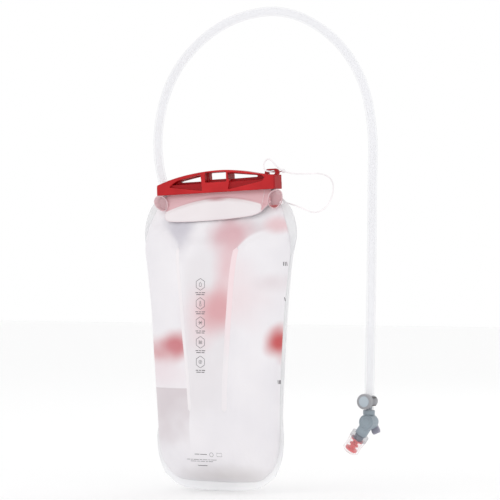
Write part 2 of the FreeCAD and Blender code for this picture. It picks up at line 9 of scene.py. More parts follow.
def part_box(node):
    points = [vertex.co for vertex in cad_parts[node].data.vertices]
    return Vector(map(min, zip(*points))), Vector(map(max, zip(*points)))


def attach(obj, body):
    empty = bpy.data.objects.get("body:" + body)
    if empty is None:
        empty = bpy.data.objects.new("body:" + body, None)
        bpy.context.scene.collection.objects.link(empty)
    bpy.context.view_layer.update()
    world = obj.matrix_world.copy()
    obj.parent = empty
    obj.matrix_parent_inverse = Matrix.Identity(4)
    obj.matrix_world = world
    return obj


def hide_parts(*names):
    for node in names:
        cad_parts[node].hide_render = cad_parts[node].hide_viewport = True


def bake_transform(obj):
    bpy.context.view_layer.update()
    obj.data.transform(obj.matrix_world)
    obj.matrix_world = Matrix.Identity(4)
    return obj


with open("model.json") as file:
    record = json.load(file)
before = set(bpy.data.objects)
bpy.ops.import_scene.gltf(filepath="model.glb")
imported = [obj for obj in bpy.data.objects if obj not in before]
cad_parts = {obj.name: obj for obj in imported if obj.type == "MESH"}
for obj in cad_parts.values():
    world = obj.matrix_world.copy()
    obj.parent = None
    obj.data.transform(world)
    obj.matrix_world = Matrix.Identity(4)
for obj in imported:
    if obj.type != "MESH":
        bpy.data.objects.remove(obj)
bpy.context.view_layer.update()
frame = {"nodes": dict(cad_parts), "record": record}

MM = 0.001
NODES = frame["nodes"]

# ---------------------------------------------------------------- camera, floor and light

VIEW_AZIMUTH = math.radians(28)
CAMERA_AIM = (0.0265, 0.0141, -0.074)
CAMERA_DISTANCE = 3.0
CAMERA_LENS = 216.0
FLOOR_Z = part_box("front_panel")[0][2]
ORIGIN_HEIGHT = 314.0                # of the frame's origin over the foot, in millimetres


def make_camera():
    data = bpy.data.cameras.new("camera")
    data.lens = CAMERA_LENS
    data.clip_end = 60
    camera = bpy.data.objects.new("camera", data)
    bpy.context.scene.collection.objects.link(camera)
    away = Vector((math.sin(VIEW_AZIMUTH), -math.cos(VIEW_AZIMUTH), 0))
    camera.location = Vector(CAMERA_AIM) + away * CAMERA_DISTANCE
    camera.rotation_euler = (-away).to_track_quat("-Z", "Y").to_euler()
    bpy.context.scene.camera = camera


def area_light(name, location, size, power):
    data = bpy.data.lights.new(name, "AREA")
    data.shape = "RECTANGLE"
    data.size, data.size_y = size
    data.energy = power
    light = bpy.data.objects.new(name, data)
    light.location = location
    aim = Vector((0, 0, -0.1)) - Vector(location)
    light.rotation_euler = aim.to_track_quat("-Z", "Y").to_euler()
    bpy.context.scene.collection.objects.link(light)


def make_studio():
    world = bpy.data.worlds.new("studio")
    bpy.context.scene.world = world
    world.use_nodes = True
    background = world.node_tree.nodes["Background"]
    background.inputs["Color"].default_value = (1, 1, 1, 1)
    background.inputs["Strength"].default_value = 1.0
    bpy.context.scene.view_settings.view_transform = "Standard"
    area_light("key", (-1.3, -1.8, 1.5), (1.2, 1.2), 3.4)
    area_light("side", (2.0, -0.6, 0.5), (0.8, 1.6), 1.2)
    area_light("back", (0.2, 1.8, 0.9), (1.6, 1.2), 1.6)
    area_light("low", (0.5, -1.8, -0.18), (1.6, 0.25), 0.7)
    size = 6.0
    mesh = bpy.data.meshes.new("floor")
    corners = [(-size, -size), (size, -size), (size, size), (-size, size)]
    mesh.from_pydata([(x, y, FLOOR_Z - 0.0005) for x, y in corners], [], [(0, 1, 2, 3)])
    floor = bpy.data.objects.new("floor", mesh)
    bpy.context.scene.collection.objects.link(floor)
    material, shader = plain_material("floor", (0.965, 0.965, 0.965), 0.7)
    shader.inputs["Specular IOR Level"].default_value = 0.2
    mesh.materials.append(material)


# ---------------------------------------------------------------- materials

def rgb(*levels):
    """Screen colour, 0 to 255, to the renderer's linear scale."""
    return tuple((c / 255 / 12.92) if c < 11 else ((c / 255 + 0.055) / 1.055) ** 2.4 for c in levels)


def from_floor(height):
    """Height above the foot to the object's own z, both in millimetres."""
    return height - ORIGIN_HEIGHT


def plain_material(name, colour, roughness):
    material = bpy.data.materials.new(name)
    material.use_nodes = True
    shader = material.node_tree.nodes["Principled BSDF"]
    shader.inputs["Base Color"].default_value = (*colour, 1)
    shader.inputs["Roughness"].default_value = roughness
    return material, shader


class Nodes:
    """A short way to add and join a material's nodes."""

    def __init__(self, material):
        self.tree = material.node_tree

    def add(self, kind, **settings):
        node = self.tree.nodes.new(kind)
        for key, value in settings.items():
            setattr(node, key, value)
        return node

    def link(self, out, into):
        self.tree.links.new(out, into)

    def place(self):
        return self.add("ShaderNodeTexCoord").outputs["Object"]

    def axes(self):
        split = self.add("ShaderNodeSeparateXYZ")
        self.link(self.place(), split.inputs["Vector"])
        return split.outputs

    def spot(self, x, z, left, right, down, up, soft=0.95, square=2.0):
        """1 in the middle of a soft uneven patch seen from the front, 0 outside it."""
        ax = self.axes()
        waver = self.math("MULTIPLY", self.math("SUBTRACT", self.noise(22, 2), 0.5), 0.9)
        reaches = []
        for axis, middle, low, high in (("X", x, left, right), ("Z", z, down, up)):
            away = self.math("SUBTRACT", ax[axis], middle * MM)
            part = self.math("MAXIMUM", self.math("MULTIPLY", away, 1 / (high * MM)),
                             self.math("MULTIPLY", away, -1 / (low * MM)))
            reaches.append(self.math("POWER", part, square))
        reach = self.math("POWER", self.math("ADD", *reaches), 1 / square)
        return self.span(self.math("ADD", reach, waver), 1.0, 1.0 - soft)

    def height(self):
        """Height above the foot, in millimetres."""
        return self.math("MULTIPLY", self.math("SUBTRACT", self.axes()["Z"], FOOT_Z), 1 / MM)

    def outward(self, side):
        return self.math("MULTIPLY", self.axes()["X"], side / MM)

    def beside_weld(self, side, edge=0.6):
        """1 on the outer side of a baffle's weld, 0 on its inner side."""
        foot, spread, bend = WELDS[side]
        up = self.math("MULTIPLY", self.math("SUBTRACT", self.height(), WELD_LOW), 1 / (WELD_HIGH - WELD_LOW))
        line = self.math("ADD", self.math("MULTIPLY", self.math("POWER", self.math("MAXIMUM", up, 0.0), bend),
                                          spread), foot)
        return self.span(self.math("SUBTRACT", self.outward(side), line), -edge, edge)

    def lobe(self, side):
        """1 in an outer chamber below its shoulder crease, 0 elsewhere."""
        start, rise, run, soft = CREASES[side]
        past = self.math("MAXIMUM", self.math("SUBTRACT", self.outward(side), start), 0.0)
        fall = self.math("POWER", math.e, self.math("MULTIPLY", past, -1 / run))
        crease = self.math("ADD", self.math("MULTIPLY", fall, -rise), WELD_HIGH + rise)
        below = self.span(self.math("SUBTRACT", crease, self.height()), -soft, soft)
        return self.math("MULTIPLY", below, self.beside_weld(side, 1.2))

    def noise(self, scale, detail):
        node = self.add("ShaderNodeTexNoise")
        node.inputs["Scale"].default_value = scale
        node.inputs["Detail"].default_value = detail
        self.link(self.place(), node.inputs["Vector"])
        return node.outputs["Fac"]

    def ramp(self, value, stops):
        node = self.add("ShaderNodeValToRGB")
        elements = node.color_ramp.elements
        while len(elements) < len(stops):
            elements.new(0.5)
        for element, (position, colour) in zip(elements, stops):
            element.position = position
            element.color = (*colour, 1)
        self.link(value, node.inputs["Fac"])
        return node.outputs["Color"]

    def math(self, operation, a, b=0.0):
        node = self.add("ShaderNodeMath", operation=operation)
        for socket, value in zip(node.inputs, (a, b)):
            if isinstance(value, (int, float)):
                socket.default_value = value
            else:
                self.link(value, socket)
        return node.outputs[0]

    def span(self, value, low, high, to_low=0.0, to_high=1.0):
        """A smooth step from to_low at low to to_high at high."""
        node = self.add("ShaderNodeMapRange", interpolation_type="SMOOTHSTEP")
        for key, number in (("From Min", low), ("From Max", high), ("To Min", to_low),
                            ("To Max", to_high)):
            node.inputs[key].default_value = number
        self.link(value, node.inputs["Value"])
        return node.outputs["Result"]

    def mix(self, factor, a, b):
        node = self.add("ShaderNodeMix", data_type="RGBA")
        wanted = {"Factor_Float": factor, "A_Color": a, "B_Color": b}
        for socket in node.inputs:
            if socket.identifier in wanted:
                value = wanted[socket.identifier]
                if isinstance(value, (int, float)):
                    socket.default_value = value
                elif isinstance(value, tuple):
                    socket.default_value = (*value, 1)
                else:
                    self.link(value, socket)
        return next(o for o in node.outputs if o.identifier == "Result_Color")

    def bump(self, height, strength, distance):
        node = self.add("ShaderNodeBump")
        node.inputs["Strength"].default_value = strength
        node.inputs["Distance"].default_value = distance
        self.link(height, node.inputs["Height"])
        return node.outputs["Normal"]


def opened(material):
    """The shader and the nodes of a material that is made already."""
    return material.node_tree.nodes["Principled BSDF"], Nodes(material)


def moulded_plastic(name, colour, roughness=0.38, grain=1400.0, depth=0.35):
    """Moulded plastic with a fine grain, a little colour drift and uneven gloss."""
    material, shader = plain_material(name, colour, roughness)
    n = Nodes(material)
    darker = tuple(c * 0.86 for c in colour)
    lighter = tuple(min(1, c * 1.08 + 0.004) for c in colour)
    drift = n.noise(35, 2)
    n.link(n.ramp(drift, [(0.35, darker), (0.7, lighter)]), shader.inputs["Base Color"])
    fine = n.noise(grain, 2)
    n.link(n.span(fine, 0.3, 0.7, roughness - 0.06, roughness + 0.08), shader.inputs["Roughness"])
    n.link(n.bump(fine, depth, 0.00004), shader.inputs["Normal"])
    return material


def paint(material, *names):
    """Gives CAD nodes a material."""
    for name in names:
        node = NODES[name]
        node.data.materials.clear()
        node.data.materials.append(material)


# ---------------------------------------------------------------- mesh helpers

def new_piece(name, verts, faces, material, body, smooth=True):
    mesh = bpy.data.meshes.new(name)
    mesh.from_pydata([tuple(v) for v in verts], [], faces)
    mesh.materials.append(material)
    if smooth:
        mesh.polygons.foreach_set("use_smooth", [True] * len(mesh.polygons))
    mesh.update()
    piece = bpy.data.objects.new(name, mesh)
    bpy.context.scene.collection.objects.link(piece)
    if body:
        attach(piece, body)
    return piece


def route_line(points, samples=12):
    """Points along the smooth line that a cord's route gives."""
    curve = bpy.data.curves.new("route", "CURVE")
    curve.dimensions = "3D"
    curve.resolution_u = samples
    spline = curve.splines.new("NURBS")
    spline.points.add(len(points) - 1)
    for point, place in zip(spline.points, points):
        point.co = (*place, 1)
    spline.order_u = 3
    spline.use_endpoint_u = True
    holder = bpy.data.objects.new("route", curve)
    mesh = bpy.data.meshes.new_from_object(holder)
    line = [v.co.copy() for v in mesh.vertices]
    bpy.data.objects.remove(holder)
    bpy.data.curves.remove(curve)
    bpy.data.meshes.remove(mesh)
    return line


def frames_along(line):
    """(point, side, up) along a line, turned as little as possible from one to the next."""
    result = []
    side = None
    for i, point in enumerate(line):
        ahead = line[min(i + 1, len(line) - 1)] - line[max(i - 1, 0)]
        ahead.normalize()
        if side is None:
            side = ahead.orthogonal().normalized()
        side = (side - ahead * side.dot(ahead)).normalized()
        result.append((point, side, ahead.cross(side)))
    return result


def tube_mesh(name, line, rings, sides, material, body):
    """A tube along a line. rings gives the radii from the outside in, for a hollow tube."""
    verts, faces = [], []
    frames = frames_along(line)
    count = len(frames)
    for radius in rings:
        for point, side, up in frames:
            for k in range(sides):
                turn = 2 * math.pi * k / sides
                verts.append(point + (side * math.cos(turn) + up * math.sin(turn)) * radius)
    for layer in range(len(rings)):
        base = layer * count * sides
        for i in range(count - 1):
            for k in range(sides):
                a = base + i * sides + k
                b = base + i * sides + (k + 1) % sides
                quad = (a, b, b + sides, a + sides)
                faces.append(quad if layer == 0 else quad[::-1])
    if len(rings) == 2:
        inner = count * sides
        last = (count - 1) * sides
        for k in range(sides):
            n = (k + 1) % sides
            faces.append((k, inner + k, inner + n, n))
            faces.append((last + k, last + n, inner + last + n, inner + last + k))
    else:
        faces.append(tuple(reversed(range(sides))))
        last = (count - 1) * sides
        faces.append(tuple(range(last, last + sides)))
    return new_piece(name, verts, faces, material, body)


# ---------------------------------------------------------------- cords

TUBE_ROUTE = [(-1.9, 55, -220.2), (-11, 55, -171), (-29, 48, -119), (-53, 37, -65), (-78, 20.5, -12),
              (-85, 19.5, 43), (-70.5, 20, 98), (-36.5, 20, 137), (8, 20, 161), (62, 20, 166.5),
              (113, 20, 142), (148.4, 20, 99), (160.6, 20, 45), (159.2, 20, -12), (158.3, 20, -124),
              (155.6, 20, -233.4)]
TUBE_OUTER = 4.75 * MM
TUBE_BORE = 3.175 * MM
TETHER_ROUTE = [(72.4, 2.2, -27), (81, 2.5, -29), (93, 1.5, -33.5), (106, 0, -38), (118, -1, -34),
                (127.5, -1.6, -20), (127, -1.6, -5), (115, -1.6, 1.5), (98, -1.6, 1), (83, -1.6, 1.2),
                (72.5, -3.2, 4), (66, -6, 9.5), (59, -6.6, 17.5), (52.5, -6.8, 12.5),
                (54, -7.2, 4.3), (60, -7.4, 3.6), (61.5, 3.6, 3.4), (67, 3.4, 4), (71.6, 0.2, 4.2)]
TETHER_RADIUS = 0.75 * MM


def in_metres(route):
    return [tuple(c * MM for c in point) for point in route]


def clear_tube_material():
    """Clear extruded tube: nearly see-through face on, milky where its wall is seen edge on."""
    material, shader = plain_material("clear_tube", rgb(232, 232, 238), 0.14)
    n = Nodes(material)
    facing = n.add("ShaderNodeLayerWeight")
    facing.inputs["Blend"].default_value = 0.35
    haze = n.noise(30, 1)
    n.link(n.span(haze, 0.3, 0.7, 0.12, 0.18), shader.inputs["Roughness"])
    n.link(n.ramp(haze, [(0.3, rgb(231, 231, 236)), (0.7, rgb(234, 234, 239))]),
           shader.inputs["Base Color"])
    n.link(n.span(facing.outputs["Facing"], 0.35, 1.0, 0.20, 0.62), shader.inputs["Alpha"])
    shader.inputs["Coat Weight"].default_value = 0.2
    return material


def make_drink_tube():
    line = route_line(in_metres(TUBE_ROUTE), 14)
    tube = tube_mesh("drink_tube_clear", line, (TUBE_OUTER, TUBE_BORE), 28,
                     clear_tube_material(), "drink_line")
    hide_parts("drink_tube")
    length = sum((b - a).length for a, b in zip(line, line[1:]))
    return length


# ---------------------------------------------------------------- reservoir shape

FOOT_Z = FLOOR_Z + 0.5 * MM          # zero of the heights below
FILM = 0.45                          # half the thickness of the welded rim, in millimetres
COLUMNS, ROWS, RIM_ROWS = 112, 190, 9
CHAMBER_FOOT = [(0, 8.6), (22, 8.8), (42, 10.2), (52, 14.4), (60, 22)]
CHAMBER_SIDE = [(60, 22), (65.5, 35), (68, 55), (69, 85), (71.5, 130), (75, 180), (79.6, 220), (82.4, 243),
                (79.5, 260), (73, 276), (68, 286), (62.5, 295)]
RIM_FOOT = [(0, -0.4), (33, 0.9), (49, 5.5), (62.5, 15.5)]
RIM_SIDE = [(62.5, 15.5), (69, 30), (71.5, 45), (73, 85), (75.5, 130), (78.5, 180), (82, 220), (85.5, 245),
            (86, 262), (80.5, 280), (71, 291), (62.2, 297)]
DEPTHS = [(8, 19), (22, 21), (35, 23.5), (55, 26.5), (85, 29), (130, 30), (180, 29.8), (220, 28.6),
          (245, 24.0), (262, 16.5), (277, 9), (286, 4.4), (295, 1.0)]
SHIFT = -1.5                         # how far the filled chamber sits off the middle of its rim
FOOT_ROUND = 30.0                    # height over which the foot of the chamber rounds off
CHAMBER_TALL = 288.0
FOLD_OVER = 0.8                      # share of the rim's width that its folded sides lie back by
NECK_Z = -11.5                       # where the two panels end, inside the folded mouth
TILT = math.radians(2.6)
WELD_LOW, WELD_HIGH = 79.5, 242.5    # heights of the welds' two ends
WELDS = {-1: (20.3, 17.3, 1.25), 1: (18.7, 10.5, 1.35)}      # distance out at the foot, spread, bend
WELD_WIDTH = {-1: 3.8, 1: 5.6}
# start, rise, run and softness of the crease from a weld's top over the shoulder
CREASES = {-1: (36.0, 38.0, 30.0, 6.0), 1: (29.5, 21.0, 15.0, 2.4)}
PORT_HEIGHT, PORT_CLEAR = 85.0, 34.0


def smooth_line(points, shares):
    """Places on a smooth line through some points, at shares from 0 to 1 of its length."""
    pts = [Vector(p) for p in points]
    ends = [2 * pts[0] - pts[1]] + pts + [2 * pts[-1] - pts[-2]]
    dense = [pts[0]]
    for a, b, c, d in zip(ends, ends[1:], ends[2:], ends[3:]):
        for k in range(1, 17):
            t = k / 16
            dense.append(0.5 * (2 * b + (c - a) * t + (2 * a - 5 * b + 4 * c - d) * t ** 2
                                + (3 * b - a - 3 * c + d) * t ** 3))
    reach = [0.0]
    for a, b in zip(dense, dense[1:]):
        reach.append(reach[-1] + (b - a).length)
    result, k = [], 0
    for share in shares:
        goal = share * reach[-1]
        while k < len(reach) - 2 and reach[k + 1] < goal:
            k += 1
        t = (goal - reach[k]) / max(reach[k + 1] - reach[k], 1e-9)
        result.append(dense[k].lerp(dense[k + 1], min(max(t, 0), 1)))
    return result


def read_list(rows, x):
    """A smooth reading of a list of (x, value) rows."""
    if x <= rows[0][0]:
        return rows[0][1]
    if x >= rows[-1][0]:
        return rows[-1][1]
    i = max(k for k in range(len(rows) - 1) if rows[k][0] <= x)

    def slope(k):
        (xa, ya), (xb, yb) = rows[max(k - 1, 0)], rows[min(k + 1, len(rows) - 1)]
        return (yb - ya) / (xb - xa)

    (xa, ya), (xb, yb) = rows[i], rows[i + 1]
    span = xb - xa
    t = (x - xa) / span
    return (ya * (2 * t ** 3 - 3 * t ** 2 + 1) + span * slope(i) * (t ** 3 - 2 * t ** 2 + t)
            + yb * (3 * t ** 2 - 2 * t ** 3) + span * slope(i + 1) * (t ** 3 - t ** 2))


def bell(x, width):
    return math.exp(-(x / width) ** 2)


def ease(x, low, high):
    t = min(max((x - low) / (high - low), 0), 1)
    return t * t * (3 - 2 * t)


def weld_x(side, height):
    """Where a baffle's weld runs, at a height."""
    foot, spread, bend = WELDS[side]
    up = max((height - WELD_LOW) / (WELD_HIGH - WELD_LOW), 0)
    return side * (foot + spread * up ** bend)


def relief(x, height, front):
    """How far the film is drawn in at a place: baffle grooves, shoulder creases and wrinkles."""
    reach = abs(x)
    along = ease(height, WELD_LOW - 20, WELD_LOW + 6) * (1 - ease(height, WELD_HIGH - 3, WELD_HIGH + 14))
    from_weld = x - weld_x(1 if x > 0 else -1, height)
    drawn = along * (1.5 * bell(from_weld, 6.0) + 1.2 * bell(from_weld, 16))
    start, rise, run, _ = CREASES[1 if x > 0 else -1]
    ridge = WELD_HIGH + rise * (1 - math.exp(-max(reach - start, 0) / run))
    above = height - ridge
    near_top = ease(height, WELD_HIGH - 12, WELD_HIGH + 6) * (1 - ease(height, 280, 292))
    drawn += near_top * ease(reach, 18, 36) * 2.9 * bell(above, 6.5)
    drawn += near_top * 2.6 * ease(above, 0, 12) * bell(x, 60)
    seed = 11.0 if front else 47.0
    drawn += 0.9 * noise.noise((x / 34, height / 60, seed))
    drawn += 0.35 * noise.noise((x / 11, height / 38, seed + 5))
    low = 1 - ease(height, 22, 74)
    drawn += low * 1.1 * noise.noise((x / 9, height / 40, seed + 9)) * ease(reach, 8, 40)
    drawn += low * 0.9 * noise.noise(((x + height) / 12, (x - height) / 40, seed + 14))
    high = ease(height, 246, 268) * (1 - ease(height, 286, 296))
    drawn += high * 0.7 * noise.noise(((x - height) / 8, (x + height) / 30, seed + 20))
    if not front:
        from_port = math.hypot(x, height - PORT_HEIGHT)
        drawn *= ease(from_port, 20, PORT_CLEAR)
    return drawn


def film_mesh_points():
    """Rows of (x, height, share across, share up) over the chamber, and the rim's outline round it."""
    across = [math.sin(math.pi / 2 * (2 * i / COLUMNS - 1)) for i in range(COLUMNS + 1)]
    upward = [(j / ROWS) ** 1.3 for j in range(ROWS + 1)]

    def whole_foot(half):
        return [(-x, h) for x, h in reversed(half)] + list(half[1:])

    def outline(foot, sides):
        low = smooth_line(whole_foot(foot), [(u + 1) / 2 for u in across])
        right = smooth_line(sides, upward)
        left = [Vector((-p.x, p.y)) for p in right]
        return low, left, right

    low, left, right = outline(CHAMBER_FOOT, CHAMBER_SIDE)
    high = [left[-1].lerp(right[-1], (u + 1) / 2) for u in across]
    rows = []
    for j, v in enumerate(upward):
        row = []
        shift = SHIFT * ease(v, 0.02, 0.3) * (1 - ease(v, 0.86, 0.98))
        for i, u in enumerate(across):
            s = (u + 1) / 2
            place = low[i] * (1 - v) + high[i] * v + left[j] * (1 - s) + right[j] * s
            place -= (low[0] * (1 - s) * (1 - v) + low[-1] * s * (1 - v)
                      + high[0] * (1 - s) * v + high[-1] * s * v)
            row.append((place.x + shift * (1 + v), place.y, u, v))
        rows.append(row)
    rim_low, rim_left, rim_right = outline(RIM_FOOT, RIM_SIDE)
    rim = rim_left[::-1] + rim_low[1:-1] + rim_right
    return rows, rim


def film_depth(x, height, u, v, front):
    up = min(v * CHAMBER_TALL / FOOT_ROUND, 1)
    foot = math.sqrt(max(1 - (1 - up) ** 2, 0))
    full = read_list(DEPTHS, height) * max(1 - abs(u) ** 2.15, 0) ** 0.56 * foot
    edge = min(1, (1 - abs(u)) * 14, v * 40, (1 - v) * 30)
    return max(full - relief(x, height, front) * max(edge, 0), FILM)


def fold_back(x, height):
    """How much of the rim's width lies folded back at a place: it does down both sides."""
    return ease(abs(x), 40, 66) * ease(height, 50, 76) * (1 - ease(height, 236, 254))


def rim_depth(share):
    """The welded rim's half thickness across it, with its fine weld lines."""
    return FILM + 0.16 * math.sin(share * math.pi * 6) ** 2 * (1 - share * 0.5)


def solidify(piece, thickness):
    shell = piece.modifiers.new("thickness", "SOLIDIFY")
    shell.thickness = thickness
    shell.offset = -1


def film(name, node, front, material, edge):
    """One panel of the reservoir: the blown-up chamber and its half of the welded rim."""
    rows, rim = film_mesh_points()
    y = -1 if front else 1
    verts = [Vector((x * MM, y * film_depth(x, h, u, v, front) * MM, FOOT_Z + h * MM))
             for row in rows for x, h, u, v in row]
    wide = COLUMNS + 1
    faces = []
    for j in range(ROWS):
        for i in range(COLUMNS):
            a = j * wide + i
            faces.append((a, a + 1, a + wide + 1, a + wide))
    border = [j * wide for j in range(ROWS, -1, -1)] + list(range(1, COLUMNS))
    border += [j * wide + COLUMNS for j in range(ROWS + 1)]
    previous = border
    for k in range(1, RIM_ROWS + 1):
        share = k / RIM_ROWS
        start = len(verts)
        for index, outer in zip(border, rim):
            inner = verts[index]
            goal = Vector((outer.x * MM, 0, FOOT_Z + outer.y * MM))
            place = Vector((inner.x, 0, inner.z)).lerp(goal, share)
            reach = place.x - inner.x
            turned = fold_back(inner.x / MM, outer.y)
            place.x -= FOLD_OVER * turned * reach
            place.y = y * rim_depth(share) * MM + FOLD_OVER * turned * abs(reach)
            verts.append(place)
        row = list(range(start, start + len(border)))
        for a in range(len(row) - 1):
            faces.append((row[a], row[a + 1], previous[a + 1], previous[a]))
        previous = row
    top = range(ROWS * wide, (ROWS + 1) * wide)
    neck = []
    for index in top:
        x = verts[index].x
        verts.append(Vector((x, y * FILM * MM, x * math.tan(TILT) + NECK_Z * MM)))
        neck.append(len(verts) - 1)
    for a in range(COLUMNS):
        faces.append((top[a], top[a + 1], neck[a + 1], neck[a]))
    if not front:
        faces = [f[::-1] for f in faces]
    piece = new_piece(name, verts, faces, material, "reservoir")
    piece.data.materials.append(edge)
    for face in piece.data.polygons[ROWS * COLUMNS:]:
        face.material_index = 1
    surface = BVHTree.FromPolygons(verts, faces)
    solidify(piece, 0.32 * MM)
    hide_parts(node)
    return surface


def on_film(surface, x, height, front, lift=0.12):
    """The place just outside the film at a distance from the middle and a height, in millimetres."""
    y = -0.1 if front else 0.1
    hit = surface.ray_cast(Vector((x * MM, y, FOOT_Z + height * MM)), Vector((0, -y, 0)))
    if hit[0] is None:
        return Vector((x * MM, 0, FOOT_Z + height * MM))
    out = hit[1] if hit[1].y * y > 0 else -hit[1]
    return hit[0] + out * lift * MM


def weld_strips(front_surface, back_surface):
    """Weld ribbons over the two baffles, front and back, and the baffles between them."""
    count, across = 60, 6
    for side, name in ((-1, "left"), (1, "right")):
        lines = {}
        for front, surface, face_name in ((True, front_surface, "front"), (False, back_surface, "back")):
            verts, faces, middle = [], [], []
            for k in range(count + 1):
                height = WELD_LOW + (WELD_HIGH - WELD_LOW) * k / count
                half = WELD_WIDTH[side] / 2
                end = min(k, count - k) / count * (WELD_HIGH - WELD_LOW) / half
                half *= math.sqrt(max(1 - (1 - min(end, 1)) ** 2, 0.02))
                for i in range(across + 1):
                    x = weld_x(side, height) + half * (2 * i / across - 1)
                    rise = 0.22 * (1 - abs(2 * i / across - 1) ** 4) + 0.02
                    verts.append(on_film(surface, x, height, front, rise))
                middle.append(verts[k * (across + 1) + across // 2])
            for k in range(count):
                for i in range(across):
                    a = k * (across + 1) + i
                    quad = (a, a + 1, a + across + 2, a + across + 1)
                    faces.append(quad if front else quad[::-1])
            ribbon = new_piece("weld_%s_%s" % (name, face_name), verts, faces, WELD, "reservoir")
            lines[front] = middle
        depth = 10
        verts, faces = [], []
        for near, far in zip(lines[True], lines[False]):
            for i in range(depth + 1):
                verts.append(near.lerp(far, 0.02 + 0.96 * i / depth))
        for k in range(count):
            for i in range(depth):
                a = k * (depth + 1) + i
                faces.append((a, a + 1, a + depth + 2, a + depth + 1))
        wall = new_piece("baffle_wall_" + name, verts, faces, BAFFLE, "reservoir")
        solidify(wall, 0.5 * MM)
        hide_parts("baffle_" + name)


# ---------------------------------------------------------------- mouth

FOLD_Y, FOLD_Z, FOLD_R = -1.6, -10.6, 2.2
SLOT_Z = -16.6
FLAP_LEFT, FLAP_RIGHT, SEAM_RIGHT = -59.5, 59.5, 52.5
FOLD_HALF = 59.0                     # half the width of the fold inside the slider
SEAM_LEAN, SEAM_PROUD = 2.4, 0.9     # how far the right seam leans in and stands forward
# name, middle x and z, half width, half height and lean of the loops at the mouth's ends
LOOPS = [("left", -63.0, -23.9, 7.0, 7.6, -0.30), ("right", 64.2, -26.0, 8.0, 9.2, 0.16)]
FLAP_SLOPE = 0.29
FLAP_EDGE = [(-59.5, -38.5), (-57, -41.8), (-50, -43.4), (-35, -44.2), (-10, -44.2), (15, -43.6), (35, -42.2),
             (44, -40.8), (50, -38.2), (54, -34.2), (59.5, -29)]


def tilted(x, y, z):
    """From the level frame of the mouth, in millimetres, to the object's frame."""
    return Vector((x * math.cos(TILT) - z * math.sin(TILT), y, x * math.sin(TILT) + z * math.cos(TILT))) * MM


def mouth_fold():
    """The mouth folded forward over itself, with the flap that hangs in front."""
    columns, down = 90, 46
    wide = columns + 1
    verts, faces = [], []
    path = [(FOLD_Y + FOLD_R, -17.0), (FOLD_Y + FOLD_R, FOLD_Z)]
    path += [(FOLD_Y + FOLD_R * math.cos(a), FOLD_Z + FOLD_R * math.sin(a))
             for a in (math.pi * k / 10 for k in range(1, 10))]
    path += [(FOLD_Y - FOLD_R, FOLD_Z), (FOLD_Y - FOLD_R, -13.0)]
    middle, half = (FLAP_LEFT + FLAP_RIGHT) / 2, (FLAP_RIGHT - FLAP_LEFT) / 2
    for y, z in path:
        verts += [tilted(FOLD_HALF * (2 * i / columns - 1), y, z) for i in range(wide)]
    for k in range(down + 1):
        t = k / down
        for i in range(wide):
            u = math.sin(math.pi / 2 * (2 * i / columns - 1))
            x = middle + half * u * (1 - 0.02 * bell(t - 0.5, 0.3))
            z = SLOT_Z + (read_list(FLAP_EDGE, middle + half * u) - SLOT_Z) * t
            below = lens_height(x) - z
            bulge = 1.9 * ease(below, -1.2, 3.5) * math.sqrt(max(1 - u ** 4, 0)) * (1 - 0.6 * t)
            sink = 0.8 * bell(below + 1.5, 1.6)
            hang = FLAP_SLOPE * (SLOT_Z - z) + bulge - sink - 0.5 * ease(t, 0.9, 1.0)
            ripple = 0.5 * noise.noise((u * 5, z / 16, 3.0)) * ease(t, 0, 0.3)
            verts.append(tilted(x, FOLD_Y - FOLD_R - hang - ripple, z))
    for j in range(len(verts) // wide - 1):
        for i in range(columns):
            a = j * wide + i
            faces.append((a + 1, a, a + wide, a + wide + 1))
    flap = new_piece("mouth_flap", verts, faces, FLAP, "reservoir")
    solidify(flap, 0.45 * MM)
    # A pale tube with a painted glow along the flap's lower edge: a painted highlight over the shadow line
    # under the flap.
    tube_mesh("mouth_hem_glow", verts[-wide:], (0.26 * MM,), 8, LIP_EDGE, "reservoir")


LENS_TOP, LENS_BEND = -22.6, 0.0033


def lens_height(x):
    """Height, in the mouth's level frame, of the crease above the flap's pale lower part."""
    return LENS_TOP - LENS_BEND * x * x


def mouth_curls():
    """The open loops of film at both ends of the folded mouth, drawn in to the flap's side seams."""
    around, painted_shade_red = 56, 10
    for name, x, z, wide, tall, lean in LOOPS:
        side = -1 if x < 0 else 1
        verts, faces = [], []
        for j in range(painted_shade_red + 1):
            t = j / painted_shade_red
            for i in range(around):
                a = 2 * math.pi * i / around
                reach_x = wide * math.cos(a) * (1 - 0.20 * t)
                reach_z = tall * math.sin(a) * (1 - 0.14 * t) * (1 + 0.10 * math.cos(a + 0.6))
                crush = 1 + 0.08 * noise.noise((math.cos(a) * 1.4, math.sin(a) * 1.4, x + 2 * t))
                place = (x + reach_x * crush + lean * reach_z + side * 1.2 * (1 - t),
                         -9.0 + 6.0 * t - 0.08 * side * reach_x, z + reach_z * crush)
                verts.append(tilted(*place))
        for j in range(painted_shade_red):
            for i in range(around):
                a = j * around + i
                b = j * around + (i + 1) % around
                faces.append((a, b, b + around, a + around))
        middle = sum(verts[-around:], Vector()) / around
        verts.append(middle)
        for i in range(around):
            faces.append((painted_shade_red * around + i, painted_shade_red * around + (i + 1) % around, len(verts) - 1))
        curl = new_piece("mouth_curl_" + name, verts, faces, CURL, "reservoir")
        solidify(curl, 0.45 * MM)
        edge_ring(name, verts[:around])
        seam(name, side)


def edge_ring(name, loop):
    """The thicker pale lip round a loop's open end, with a painted glow."""
    line = loop + [loop[0]]
    ring = tube_mesh("mouth_lip_" + name, line, (0.17 * MM,), 8, LIP_EDGE, "reservoir")


